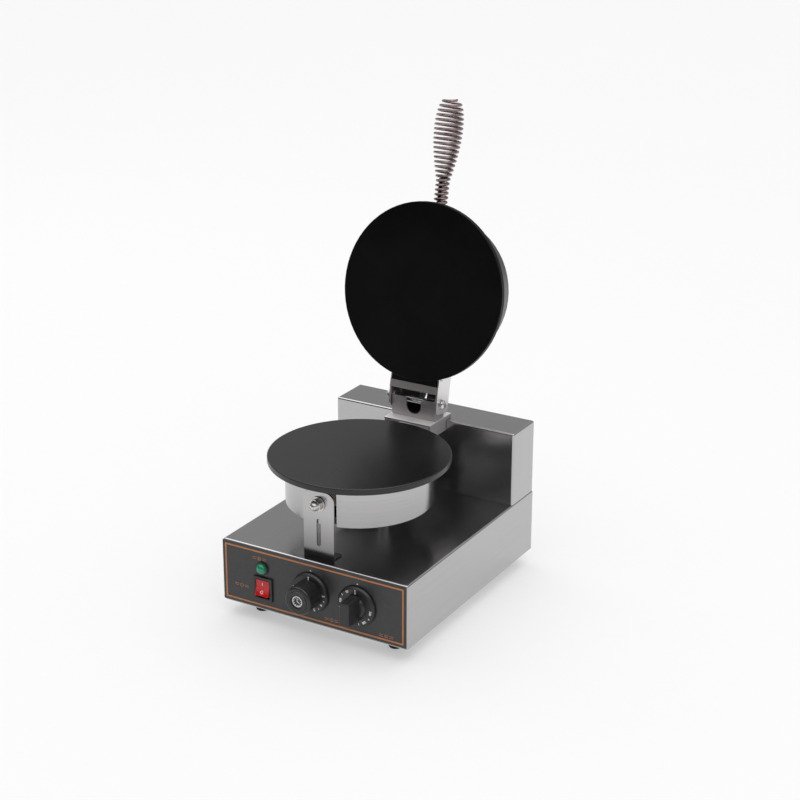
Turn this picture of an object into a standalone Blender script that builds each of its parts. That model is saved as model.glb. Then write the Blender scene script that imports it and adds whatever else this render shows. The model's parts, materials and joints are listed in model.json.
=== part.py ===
"""Electric waffle cone maker: a folded steel base with two round baking plates on a rear hinge.

Metres, +Z up, +X to the right of someone facing the controls, +Y to the back.
The origin is on the bench, under the middle of the machine with its lid open.
"""
import math

import bmesh
import bpy
from mathutils import Matrix, Vector

# Where the machine stands: the front face of the casing and the underside of the casing.
FRONT = -0.145
FOOT_HEIGHT = 0.018
CASE_BOTTOM = FOOT_HEIGHT
GAP = 0.0003
SHEET = 0.0012

# Folded steel casing and the rear box that carries the hinge.
CASE_WIDTH = 0.244
CASE_DEPTH = 0.300
CASE_TOP = 0.095
BOX_DEPTH = 0.054
BOX_TOP = 0.186
FOLD = 0.0025

# Baking plates.
PLATE_RADIUS = 0.105
PLATE_THICK = 0.0075
PLATE_CENTRE_Y = FRONT + 0.1005
COOK_TOP = 0.190
CLOSED_GAP = 0.0028
LID_FACE = COOK_TOP + CLOSED_GAP
LID_BACK = LID_FACE + PLATE_THICK
RING_RADIUS = 0.085
CONDUIT_BACK = 0.053
STUD_Z = 0.160
RING_BOTTOM = 0.1345
RING_TOP = COOK_TOP - PLATE_THICK - GAP
COVER_RADIUS = 0.086
COVER_DEPTH = 0.051
HANDLE_Z = LID_BACK + 0.0155

# Hinge: the lid is drawn closed and swung open about this axis.
HINGE_Y = FRONT + 0.231
HINGE_Z = 0.2115
OPEN_ANGLE = math.radians(101.9)
LUG_BACK = -0.0215
BOX_FRONT = FRONT + CASE_DEPTH - BOX_DEPTH
WIRE_Y = BOX_FRONT + 0.024
PIN_RADIUS = 0.0030
SHELF_FRONT = FRONT + 0.2075
SHELF_TOP = 0.1915
EAR_HALF = 0.0295
ARM_INNER = 0.0303
ARM_THICK = 0.0022

# Controls on the front panel: centre across, centre up.
PANEL_THICK = 0.001
TIMER_AT = (-0.002, CASE_BOTTOM + 0.0395)
THERMOSTAT_AT = (0.059, CASE_BOTTOM + 0.0385)
LAMP_AT = (-0.067, CASE_BOTTOM + 0.0525)
SWITCH_AT = (-0.066, CASE_BOTTOM + 0.0275)
KNOB_DEPTH = 0.030
SKIRT_RADIUS = 0.024
SHAFT_RADIUS = 0.003
ROCKER_DEPTH = 0.0040
ROCKER_TILT = math.radians(10)
INLET_Z = CASE_BOTTOM + 0.030

COLOURS = {
    "brushed_steel": ((0.62, 0.61, 0.60), 0.32, 1.0),
    "plate_coating": ((0.025, 0.025, 0.026), 0.45, 0.0),
    "panel_black": ((0.035, 0.035, 0.038), 0.40, 0.0),
    "bright_steel": ((0.75, 0.74, 0.73), 0.18, 1.0),
    "rubber": ((0.015, 0.015, 0.015), 0.75, 0.0),
    "black_plastic": ((0.02, 0.02, 0.022), 0.35, 0.0),
    "red_plastic": ((0.55, 0.01, 0.01), 0.25, 0.0),
    "green_lens": ((0.02, 0.30, 0.16), 0.15, 0.0),
    "mineral_wool": ((0.70, 0.66, 0.52), 0.95, 0.0),
    "galvanised": ((0.50, 0.51, 0.52), 0.45, 1.0),
    "ceramic": ((0.82, 0.80, 0.74), 0.50, 0.0),
    "copper": ((0.72, 0.36, 0.22), 0.30, 1.0),
}

for old in list(bpy.data.objects):
    bpy.data.objects.remove(old, do_unlink=True)

machine = bpy.data.collections.new("waffle_cone_maker")
cutters = bpy.data.collections.new("cutters")
bpy.context.scene.collection.children.link(machine)
bpy.context.scene.collection.children.link(cutters)


def material(name):
    """The Principled material of this finish, made once."""
    found = bpy.data.materials.get(name)
    if found:
        return found
    colour, roughness, metallic = COLOURS[name]
    made = bpy.data.materials.new(name)
    made.use_nodes = True
    shader = made.node_tree.nodes["Principled BSDF"]
    shader.inputs["Base Color"].default_value = (*colour, 1.0)
    shader.inputs["Roughness"].default_value = roughness
    shader.inputs["Metallic"].default_value = metallic
    return made


def add(name, mesh, finish, parent=None, at=(0, 0, 0)):
    """A new node with this mesh and finish."""
    node = bpy.data.objects.new(name, mesh)
    machine.objects.link(node)
    if finish:
        mesh.materials.append(material(finish))
    node.location = at
    node.parent = parent
    return node


def mesh_from(build, name):
    """A mesh made by a function that fills a bmesh."""
    work = bmesh.new()
    build(work)
    mesh = bpy.data.meshes.new(name)
    work.to_mesh(mesh)
    work.free()
    return mesh


def box_mesh(name, low, high, open_sides=()):
    """A box between two corners. Sides named in open_sides, such as -z, are left out."""
    low, high = Vector(low), Vector(high)

    def build(work):
        bmesh.ops.create_cube(work, size=1.0)
        bmesh.ops.scale(work, vec=high - low, verts=work.verts)
        bmesh.ops.translate(work, vec=(low + high) / 2, verts=work.verts)
        for side in open_sides:
            sign = -1 if side[0] == "-" else 1
            axis = "xyz".index(side[1])
            gone = [f for f in work.faces if f.normal[axis] * sign > 0.9]
            bmesh.ops.delete(work, geom=gone, context="FACES")

    return mesh_from(build, name)


def block(name, low, high, finish, parent=None, bevel=0.0):
    """A solid block with rounded edges."""
    node = add(name, box_mesh(name, low, high), finish, parent)
    if bevel:
        round_edges(node, bevel)
    return node


def round_edges(node, width, segments=2, angle=40):
    """Rounds the sharp edges of a node."""
    rounding = node.modifiers.new("rounded edges", "BEVEL")
    rounding.width = width
    rounding.segments = segments
    rounding.limit_method = "ANGLE"
    rounding.angle_limit = math.radians(angle)


def rod_mesh(name, radius, start, end, sides=20, end_radius=None):
    """A cylinder or cone between two points."""
    start, end = Vector(start), Vector(end)
    along = end - start
    turn = along.to_track_quat("Z", "Y").to_matrix().to_4x4()

    def build(work):
        bmesh.ops.create_cone(
            work, cap_ends=True, segments=sides, radius1=radius,
            radius2=radius if end_radius is None else end_radius, depth=along.length,
            matrix=Matrix.Translation((start + end) / 2) @ turn)

    return mesh_from(build, name)


def rod(name, radius, start, end, finish, parent=None, sides=32, bevel=0.0, end_radius=None):
    """A round bar between two points."""
    node = add(name, rod_mesh(name, radius, start, end, sides, end_radius), finish, parent)
    if bevel:
        round_edges(node, bevel)
    node.data.shade_smooth()
    node.data.set_sharp_from_angle(angle=math.radians(35))
    return node


def turned(name, profile, finish, at=(0, 0, 0), parent=None, steps=48, rotation=(0, 0, 0)):
    """A turned shape: (radius, height) points from the top centre down the outside to the bottom."""
    def build(work):
        points = [work.verts.new((radius, 0, height)) for radius, height in profile]
        for first, second in zip(points, points[1:]):
            work.edges.new((first, second))

    node = add(name, mesh_from(build, name), finish, parent, at)
    node.rotation_euler = rotation
    screw = node.modifiers.new("turned", "SCREW")
    screw.steps = steps
    screw.render_steps = steps
    screw.use_merge_vertices = True
    screw.merge_threshold = 0.00001
    return node


def outline_mesh(name, points, thick, matrix):
    """A flat outline of (u, v) points, extruded both ways by half its thickness."""
    curve = bpy.data.curves.new(name, "CURVE")
    curve.dimensions = "2D"
    curve.fill_mode = "BOTH"
    curve.extrude = thick / 2
    spline = curve.splines.new("POLY")
    spline.points.add(len(points) - 1)
    for point, (u, v) in zip(spline.points, points):
        point.co = (u, v, 0, 1)
    spline.use_cyclic_u = True
    return curve_to_mesh(curve, name, matrix)


def curve_to_mesh(curve, name, matrix=Matrix()):
    """The welded mesh of a curve, moved by a matrix. The curve is removed."""
    holder = bpy.data.objects.new(name + "_curve", curve)
    bpy.context.scene.collection.objects.link(holder)
    depsgraph = bpy.context.evaluated_depsgraph_get()
    mesh = bpy.data.meshes.new_from_object(holder.evaluated_get(depsgraph))
    bpy.data.objects.remove(holder, do_unlink=True)
    bpy.data.curves.remove(curve)
    work = bmesh.new()
    work.from_mesh(mesh)
    bmesh.ops.remove_doubles(work, verts=work.verts, dist=0.000001)
    bmesh.ops.transform(work, matrix=matrix, verts=work.verts)
    bmesh.ops.recalc_face_normals(work, faces=work.faces)
    work.to_mesh(mesh)
    work.free()
    mesh.name = name
    mesh.materials.clear()
    return mesh


# Frames for flat outlines: (u, v) drawn on a wall facing front, on a side wall, or lying flat.
FACING_FRONT = Matrix(((1, 0, 0, 0), (0, 0, -1, 0), (0, 1, 0, 0), (0, 0, 0, 1)))
FACING_SIDE = Matrix(((0, 0, 1, 0), (1, 0, 0, 0), (0, 1, 0, 0), (0, 0, 0, 1)))


def sheet_part(name, points, thick, at, facing, finish, parent=None):
    """A flat sheet cut to an outline, with the middle of its thickness at a place."""
    matrix = Matrix.Translation(at) @ facing
    return add(name, outline_mesh(name, points, thick, matrix), finish, parent)


def arc(centre, radius, start, end, steps=8):
    """Points on an arc, in degrees."""
    places = [math.radians(start + (end - start) * i / steps) for i in range(steps + 1)]
    return [(centre[0] + radius * math.cos(a), centre[1] + radius * math.sin(a)) for a in places]


def tube(name, points, radius, finish, parent=None, resolution=1):
    """A round wire through a list of points, as one closed mesh."""
    curve = bpy.data.curves.new(name, "CURVE")
    curve.dimensions = "3D"
    curve.bevel_depth = radius
    curve.bevel_resolution = resolution
    curve.use_fill_caps = True
    spline = curve.splines.new("POLY")
    spline.points.add(len(points) - 1)
    for point, place in zip(spline.points, points):
        point.co = (*place, 1)
    node = add(name, curve_to_mesh(curve, name), finish, parent)
    node.data.shade_smooth()
    return node


def boolean(node, mesh, operation):
    """Cuts a mesh out of a node, or joins it on, with a hidden tool object."""
    tool = bpy.data.objects.new(node.name + "_tool", mesh)
    cutters.objects.link(tool)
    tool.hide_render = True
    tool.display_type = "WIRE"
    tool.parent = node.parent
    step = node.modifiers.new(operation.lower(), "BOOLEAN")
    step.operation = operation
    step.object = tool
    return tool


def cut(node, mesh):
    """Cuts a mesh out of a node."""
    return boolean(node, mesh, "DIFFERENCE")


def join(node, mesh):
    """Joins a mesh on to a node."""
    return boolean(node, mesh, "UNION")


def merged(meshes, name):
    """Several separate meshes as one, for a row of holes or a set of screws."""
    work = bmesh.new()
    for mesh in meshes:
        work.from_mesh(mesh)
    result = bpy.data.meshes.new(name)
    work.to_mesh(result)
    work.free()
    return result


def screw_mesh(name, at, out, head_radius, head_height, shank_radius, length):
    """A pan-head screw. out points from the shank to the head, and at is under the head."""
    at, out = Vector(at), Vector(out)
    turn = out.to_track_quat("Z", "Y")
    profile = [(0, head_height), (head_radius * 0.6, head_height), (head_radius, head_height * 0.5),
               (head_radius, 0), (shank_radius, 0), (shank_radius, -length), (0, -length)]

    def build(work):
        points = [work.verts.new((radius, 0, height)) for radius, height in profile]
        edges = [work.edges.new(pair) for pair in zip(points, points[1:])]
        bmesh.ops.spin(work, geom=points + edges, axis=(0, 0, 1), cent=(0, 0, 0), steps=12,
                       angle=-2 * math.pi)
        bmesh.ops.remove_doubles(work, verts=work.verts, dist=0.000001)
        bmesh.ops.recalc_face_normals(work, faces=work.faces)
        bmesh.ops.transform(work, matrix=Matrix.Translation(at) @ turn.to_matrix().to_4x4(),
                            verts=work.verts)

    return mesh_from(build, name)


def screw(name, at, out, parent=None, head=(0.0035, 0.0018), shank=(0.0015, 0.006)):
    """A pan-head screw as a node of its own."""
    return add(name, screw_mesh(name, at, out, *head, *shank), "bright_steel", parent)


def folded_shell(name, low, high, open_sides, finish, fold=FOLD):
    """A folded sheet casing: rounded folds, then the sheet's thickness on the inside."""
    node = add(name, box_mesh(name, low, high, open_sides), finish)
    round_edges(node, fold, segments=3)
    solid = node.modifiers.new("sheet", "SOLIDIFY")
    solid.thickness = SHEET
    solid.offset = -1
    solid.use_even_offset = True
    return node


def base_casing():
    """The base: top, sides and front folded from one sheet, open below and behind."""
    half = CASE_WIDTH / 2
    casing = folded_shell("base_casing", (-half, FRONT, CASE_BOTTOM), (half, FRONT + CASE_DEPTH, CASE_TOP),
                          ("-z", "+y"), "brushed_steel")
    through = (FRONT - 0.003, FRONT + 0.004)
    holes = [rod_mesh("hole", SHAFT_RADIUS + 0.0015, (x, through[0], z), (x, through[1], z))
             for x, z in (TIMER_AT, THERMOSTAT_AT)]
    x, z = LAMP_AT
    holes.append(rod_mesh("hole", 0.0055, (x, through[0], z), (x, through[1], z)))
    x, z = SWITCH_AT
    holes.append(box_mesh("hole", (x - 0.0113, through[0], z - 0.0133), (x + 0.0113, through[1], z + 0.0133)))
    wire_y = FRONT + CASE_DEPTH - BOX_DEPTH / 2
    holes.append(rod_mesh("hole", 0.014, (0, wire_y, CASE_TOP - 0.004), (0, wire_y, CASE_TOP + 0.004)))
    cut(casing, merged(holes, "casing_holes"))
    conduit_y = PLATE_CENTRE_Y + CONDUIT_BACK
    cut(casing, rod_mesh("hole", 0.0065, (0, conduit_y, CASE_TOP - 0.004), (0, conduit_y, CASE_TOP + 0.004)))


def base_covers():
    """Bottom plate with air slots, and the rear wall of the base with the cable inlet's hole."""
    inner = CASE_WIDTH / 2 - SHEET - 0.0005
    back = FRONT + CASE_DEPTH
    bottom = block("bottom_plate", (-inner, FRONT + SHEET + 0.0005, CASE_BOTTOM + GAP),
                   (inner, back - 0.002, CASE_BOTTOM + GAP + SHEET), "galvanised")
    slots = []
    for row in range(5):
        y = PLATE_CENTRE_Y - 0.040 + row * 0.020
        slots.append(box_mesh("slot", (-0.030, y - 0.002, CASE_BOTTOM - 0.003),
                              (0.030, y + 0.002, CASE_BOTTOM + 0.005)))
    cut(bottom, merged(slots, "air_slots"))
    rear = block("rear_panel", (-inner, back - SHEET, CASE_BOTTOM + 0.002),
                 (inner, back, CASE_TOP - SHEET - 0.0005), "brushed_steel")
    cut(rear, rod_mesh("inlet_hole", 0.0082, (0.070, back - 0.005, INLET_Z), (0.070, back + 0.005, INLET_Z)))


def rear_box():
    """The box behind the plates, standing on the base and open below."""
    half = CASE_WIDTH / 2
    back = FRONT + CASE_DEPTH
    box = folded_shell("rear_box", (-half, back - BOX_DEPTH, CASE_TOP + GAP), (half, back, BOX_TOP), ("-z",),
                       "brushed_steel")
    cut(box, rod_mesh("wire_hole", 0.006, (0, WIRE_Y, BOX_TOP - 0.005), (0, WIRE_Y, BOX_TOP + 0.005)))


def control_panel():
    """The thin black panel over the front of the base."""
    half = CASE_WIDTH / 2 - 0.0008
    low, high = CASE_BOTTOM + 0.0018, CASE_TOP - 0.0008
    panel = block("control_panel", (-half, FRONT - GAP - PANEL_THICK, low), (half, FRONT - GAP, high),
                  "panel_black")
    front, back = FRONT - 0.006, FRONT + 0.004
    holes = [rod_mesh("hole", SHAFT_RADIUS + 0.0015, (x, front, z), (x, back, z))
             for x, z in (TIMER_AT, THERMOSTAT_AT)]
    x, z = LAMP_AT
    holes.append(rod_mesh("hole", 0.0055, (x, front, z), (x, back, z)))
    x, z = SWITCH_AT
    holes.append(box_mesh("hole", (x - 0.0113, front, z - 0.0133), (x + 0.0113, back, z + 0.0133)))
    cut(panel, merged(holes, "panel_holes"))


def feet():
    """Four tapered rubber feet, bored for their screws."""
    for side, across in (("left", -1), ("right", 1)):
        for end, y in (("front", FRONT + 0.030), ("rear", FRONT + CASE_DEPTH - 0.030)):
            x = across * 0.0895
            top = FOOT_HEIGHT - GAP
            profile = [(0.0028, top), (0.0100, top), (0.0080, 0.0012), (0.0070, 0.0), (0.0045, 0.0),
                       (0.0045, 0.008), (0.0028, 0.008), (0.0028, top)]
            turned("foot_" + end + "_" + side, profile, "rubber", (x, y, 0), steps=18)


def plate_profile(low, high):
    """A baking plate's edge, with small rounded corners."""
    small = 0.0008
    return [(0, high), (PLATE_RADIUS - small, high), (PLATE_RADIUS, high - small),
            (PLATE_RADIUS, low + small), (PLATE_RADIUS - small, low), (0, low)]


def band(name, radius, low, high, thick, finish, parent=None, lip=0.0):
    """A thin round band. A lip turns its lower edge inwards."""
    profile = [(radius - thick, high), (radius, high), (radius, low)]
    if lip:
        profile += [(radius - lip, low), (radius - lip, low + thick), (radius - thick, low + thick)]
    else:
        profile += [(radius - thick, low)]
    profile.append(profile[0])
    return turned(name, profile, finish, (0, PLATE_CENTRE_Y, 0), parent, steps=56)


def heating_element(name, height, parent=None):
    """A tubular element bent nearly once round, with its two cold ends turned to the middle."""
    radius = 0.060
    ring = []
    for i in range(25):
        angle = math.radians(110 + 320 * i / 24)
        ring.append((radius * math.cos(angle), PLATE_CENTRE_Y + radius * math.sin(angle), height))
    first, last = ring[0], ring[-1]
    inward = 0.030
    start = (first[0], first[1] - inward, height)
    end = (last[0], last[1] - inward, height)
    return tube(name, [start] + ring + [end], 0.0035, "galvanised", parent)


def lower_plate_group():
    """The fixed baking plate, its steel ring, heating element, wool and heat pan."""
    turned("lower_plate", plate_profile(COOK_TOP - PLATE_THICK, COOK_TOP), "plate_coating",
           (0, PLATE_CENTRE_Y, 0), steps=72)
    ring = band("lower_ring", RING_RADIUS, RING_BOTTOM, RING_TOP, 0.0010, "brushed_steel", lip=0.004)
    split = 0.0205
    front = PLATE_CENTRE_Y - RING_RADIUS
    cut(ring, box_mesh("split", (0.008, front - 0.005, RING_BOTTOM - 0.01),
                       (split, front + 0.012, RING_TOP + 0.01)))
    cut(ring, rod_mesh("stud_hole", 0.0033, (0, front - 0.01, STUD_Z), (0, front + 0.01, STUD_Z), sides=16))
    rear = PLATE_CENTRE_Y + RING_RADIUS
    cut(ring, rod_mesh("stud_hole", 0.0033, (0, rear - 0.01, STUD_Z), (0, rear + 0.01, STUD_Z), sides=16))
    element_z = COOK_TOP - PLATE_THICK - GAP - 0.0036
    heating_element("lower_heating_element", element_z)
    wool_top = element_z - 0.0040
    wool_radius, wool_low = 0.078, wool_top - 0.018
    wool = [(0, wool_top), (wool_radius, wool_top), (wool_radius, wool_low), (0, wool_low)]
    turned("lower_insulation", wool, "mineral_wool", (0, PLATE_CENTRE_Y, 0), steps=32)
    pan = RING_BOTTOM + 0.0016
    inner, outer, rim = 0.0790, 0.0800, pan + 0.008
    dish = [(0, pan + SHEET), (inner, pan + SHEET), (inner, rim), (outer, rim), (outer, pan), (0, pan)]
    turned("lower_heat_pan", dish, "galvanised", (0, PLATE_CENTRE_Y, 0), steps=36)
    hole_y = PLATE_CENTRE_Y + CONDUIT_BACK
    cut(bpy.data.objects["lower_heat_pan"],
        rod_mesh("conduit_hole", 0.0065, (0, hole_y, pan - 0.01), (0, hole_y, pan + 0.01)))


def support(name, y, outward):
    """An L bracket from the casing up to the ring, slotted, with rounded top corners."""
    thick = 0.0018
    half = 0.020
    low, high = CASE_TOP + GAP, 0.1745
    corner = 0.010
    points = [(half, low), *arc((half - corner, high - corner), corner, 0, 90),
              *arc((-half + corner, high - corner), corner, 90, 180), (-half, low)]
    bracket = sheet_part(name, points, thick, (0, y, 0), FACING_FRONT, "brushed_steel")
    toe = sorted((y - outward * thick / 2, y - outward * 0.0150))
    join(bracket, box_mesh("toe", (-half, toe[0], low), (half, toe[1], low + thick)))
    slot_low, slot_high, slot_half = 0.1085, 0.1415, 0.0027
    slot = [*arc((0, slot_high - slot_half), slot_half, 0, 180, 6),
            *arc((0, slot_low + slot_half), slot_half, 180, 360, 6)]
    cut(bracket, outline_mesh("slot", slot, 0.01, Matrix.Translation((0, y, 0)) @ FACING_FRONT))
    cut(bracket, rod_mesh("stud_hole", 0.0033, (0, y - 0.01, STUD_Z), (0, y + 0.01, STUD_Z), sides=16))
    return bracket


def cap_nut(name, at, out, across, height):
    """A hexagonal nut with a domed cap."""
    at, out = Vector(at), Vector(out)
    nut = rod(name, across / math.sqrt(3), at, at + out * height * 0.45, "bright_steel", sides=6)
    turn = out.to_track_quat("Z", "Y").to_matrix().to_4x4()
    radius = across / 2 - 0.0003

    def build(work):
        bmesh.ops.create_uvsphere(work, u_segments=16, v_segments=8, radius=radius)
        bmesh.ops.scale(work, vec=(1, 1, height * 0.60 / radius), verts=work.verts)
        place = Matrix.Translation(at + out * height * 0.40) @ turn
        bmesh.ops.transform(work, matrix=place, verts=work.verts)
        bmesh.ops.bisect_plane(work, geom=work.verts[:] + work.edges[:] + work.faces[:],
                               plane_co=at + out * height * 0.2, plane_no=-out, clear_outer=True)
        rim = [edge for edge in work.edges if edge.is_boundary]
        bmesh.ops.holes_fill(work, edges=rim)

    join(nut, mesh_from(build, "dome"))
    return nut


def ring_supports():
    """Front and rear brackets with the studs, washers and nuts that hold the ring."""
    thick = 0.0018
    front = PLATE_CENTRE_Y - RING_RADIUS
    rear = PLATE_CENTRE_Y + RING_RADIUS
    support("front_bracket", front - GAP - thick / 2, -1)
    support("rear_bracket", rear + GAP + thick / 2, 1)
    for end, ring_y, out in (("front", front, -1), ("rear", rear, 1)):
        face = ring_y + out * (GAP + thick + GAP)
        washer = rod(end + "_bracket_washer", 0.0088, (0, face, STUD_Z), (0, face + out * 0.0012, STUD_Z),
                     "bright_steel", sides=24)
        cut(washer, rod_mesh("hole", 0.0033, (0, face - 0.005, STUD_Z), (0, face + 0.005, STUD_Z), sides=16))
        nut_at = face + out * (0.0012 + GAP)
        cap_nut(end + "_bracket_cap_nut", (0, nut_at, STUD_Z), (0, out, 0), 0.0130, 0.0115)
        head = ring_y - out * (0.0010 + 2 * GAP)
        stud = screw_mesh(end + "_bracket_stud", (0, head, STUD_Z), (0, -out, 0), 0.0060, 0.0025, 0.0030,
                          abs(nut_at - head) - GAP)
        add(end + "_bracket_stud", stud, "galvanised")


def conduit_points(start, end, bend):
    """A smooth route between two points, pushed aside in its middle."""
    start, end, bend = Vector(start), Vector(end), Vector(bend)
    steps = 14
    route = []
    for i in range(steps + 1):
        t = i / steps
        route.append(start.lerp(end, t) + bend * math.sin(math.pi * t))
    return route


def hinge_base():
    """The shelf on the rear box and the notched bracket that holds the hinge pin."""
    half = 0.0315
    thick = 0.0020
    back = BOX_FRONT + 0.012
    shelf = block("hinge_shelf", (-half, SHELF_FRONT, SHELF_TOP - thick), (half, back, SHELF_TOP),
                  "brushed_steel")
    for side in (-1, 1):
        over = [(back, SHELF_TOP - thick / 2), (back, BOX_TOP + GAP), (BOX_FRONT - 2 * GAP, BOX_TOP + GAP),
                (BOX_FRONT - 2 * GAP, BOX_TOP - 0.012), (SHELF_FRONT + 0.014, BOX_TOP - 0.012),
                (SHELF_FRONT + 0.001, SHELF_TOP - 0.0055), (SHELF_FRONT + 0.001, SHELF_TOP - thick / 2)]
        matrix = Matrix.Translation((side * (half - thick / 2), 0, 0)) @ FACING_SIDE
        join(shelf, outline_mesh("shelf_side", over, thick, matrix))
    for side, x in (("left", -0.022), ("right", 0.022)):
        y = BOX_FRONT + 0.006
        screw("shelf_screw_" + side, (x, y, SHELF_TOP + GAP), (0, 0, 1), shank=(0.0015, 0.0100))
        for sheet, height in ((shelf, SHELF_TOP), (bpy.data.objects["rear_box"], BOX_TOP)):
            cut(sheet, rod_mesh("hole", 0.0019, (x, y, height - 0.01), (x, y, height + 0.01), sides=12))

    web_y = HINGE_Y - 0.0073
    low = SHELF_TOP + GAP
    tab_top = 0.2155
    notch_half, notch_low = 0.0098, 0.1960
    corner = 0.0030
    web = [(EAR_HALF, low), *arc((EAR_HALF - corner, tab_top - corner), corner, 0, 90, 4),
           *arc((notch_half + corner, tab_top - corner), corner, 90, 180, 4),
           *arc((0, notch_low + notch_half), notch_half, 360, 180, 12),
           *arc((-notch_half - corner, tab_top - corner), corner, 0, 90, 4),
           *arc((-EAR_HALF + corner, tab_top - corner), corner, 90, 180, 4), (-EAR_HALF, low)]
    bracket = sheet_part("hinge_base_bracket", web, thick, (0, web_y, 0), FACING_FRONT, "brushed_steel")
    for side in (-1, 1):
        ear = [(web_y, low), (HINGE_Y + 0.012, low), (HINGE_Y + 0.012, HINGE_Z - 0.004),
               *arc((HINGE_Y, HINGE_Z), 0.0090, 0, 90, 6), (web_y, HINGE_Z + 0.0040)]
        matrix = Matrix.Translation((side * (EAR_HALF - thick / 2), 0, 0)) @ FACING_SIDE
        join(bracket, outline_mesh("ear", ear, thick, matrix))
    cut(bracket, rod_mesh("pin_hole", PIN_RADIUS + 0.0001, (-0.05, HINGE_Y, HINGE_Z),
                          (0.05, HINGE_Y, HINGE_Z)))


def hinge_pin():
    """The long bolt on the hinge axis, with its domed head on the right and its nut on the left."""
    outer = ARM_INNER + ARM_THICK
    washer = 0.0010
    for side, name in ((-1, "hinge_washer_left"), (1, "hinge_washer_right")):
        start = side * (outer + GAP)
        node = rod(name, 0.0062, (start, HINGE_Y, HINGE_Z), (start + side * washer, HINGE_Y, HINGE_Z),
                   "bright_steel")
        cut(node, rod_mesh("hole", PIN_RADIUS + 0.0002, (start - 0.005, HINGE_Y, HINGE_Z),
                           (start + 0.005, HINGE_Y, HINGE_Z)))
    head_at = outer + washer + 2 * GAP
    pin = screw_mesh("hinge_pin", (head_at, HINGE_Y, HINGE_Z), (1, 0, 0), 0.0055, 0.0040, PIN_RADIUS,
                     2 * head_at + 0.0062)
    add("hinge_pin", pin, "bright_steel")
    nut = rod("hinge_nut", 0.0055, (-head_at, HINGE_Y, HINGE_Z), (-head_at - 0.0050, HINGE_Y, HINGE_Z),
              "bright_steel", sides=6)
    cut(nut, rod_mesh("hole", PIN_RADIUS + 0.0002, (-head_at - 0.01, HINGE_Y, HINGE_Z),
                      (0, HINGE_Y, HINGE_Z)))


def lid():
    """The swinging half, drawn closed and turned about the hinge axis."""
    axis = bpy.data.objects.new("lid_axis", None)
    machine.objects.link(axis)
    axis.location = (0, HINGE_Y, HINGE_Z)
    axis.rotation_euler = (-OPEN_ANGLE, 0, 0)
    # Inside this empty everything is measured from the hinge axis with the lid closed.
    centre = PLATE_CENTRE_Y - HINGE_Y
    face = LID_FACE - HINGE_Z
    back = LID_BACK - HINGE_Z

    plate = turned("upper_plate", plate_profile(face, back), "plate_coating", (0, centre, 0), axis, steps=72)
    lug_half, lug_top = 0.0296, back + 0.0105
    lug_front, lug_back = centre + COVER_RADIUS + 0.0006, LUG_BACK
    join(plate, box_mesh("lug", (-lug_half, lug_front, face + 0.0045), (lug_half, lug_back, lug_top)))

    seat = back + GAP
    cover_top = seat + COVER_DEPTH
    rim = 0.004
    wall = 0.0010
    inner = COVER_RADIUS - wall
    profile = [(0, cover_top), *arc((COVER_RADIUS - rim, cover_top - rim), rim, 90, 0, 3),
               (COVER_RADIUS, seat), (inner, seat),
               *arc((COVER_RADIUS - rim, cover_top - rim), rim - wall, 0, 90, 3), (0, cover_top - wall)]
    cover = turned("upper_cover", profile, "brushed_steel", (0, centre, 0), axis, steps=56)
    handle_z = HANDLE_Z - HINGE_Z
    wire_z = seat + 0.030
    stud_hole = (centre - COVER_RADIUS, handle_z, 0.0054)
    wire_hole = (centre + COVER_RADIUS, wire_z, 0.0062)
    for wall_y, z, radius in (stud_hole, wire_hole):
        cut(cover, rod_mesh("hole", radius, (0, wall_y - 0.01, z), (0, wall_y + 0.01, z)))

    element_z = seat + 0.0036
    element = heating_element("upper_heating_element", element_z, axis)
    element.location = (0, -HINGE_Y, 0)
    wool = element_z + 0.0040
    wool_radius, wool_top = 0.074, wool + 0.022
    turned("upper_insulation", [(0, wool_top), (wool_radius, wool_top), (wool_radius, wool), (0, wool)],
           "mineral_wool", (0, centre, 0), axis, steps=32)
    lid_bracket(axis, face, back, lug_top)
    handle(axis, centre, handle_z)
    bore, nose, flange = 0.0042, 0.0058, 0.0085
    profile = [(bore, 0.008), (nose, 0.008), (nose, 0.004), (flange, 0.004), (flange, 2 * GAP),
               (nose, 2 * GAP), (nose, -0.004), (bore, -0.004), (bore, 0.008)]
    turned("upper_conduit_gland", profile, "black_plastic", (0, centre + COVER_RADIUS, wire_z), axis,
           steps=16, rotation=(-math.pi / 2, 0, 0))
    route_start = (0, centre + COVER_RADIUS + 0.0022, wire_z)
    route_end = (0, 0.0035, 0.0095)
    route = conduit_points(route_start, route_end, (0, 0.006, 0.004))
    tube("upper_conduit", route, 0.0036, "galvanised", axis)


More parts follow.
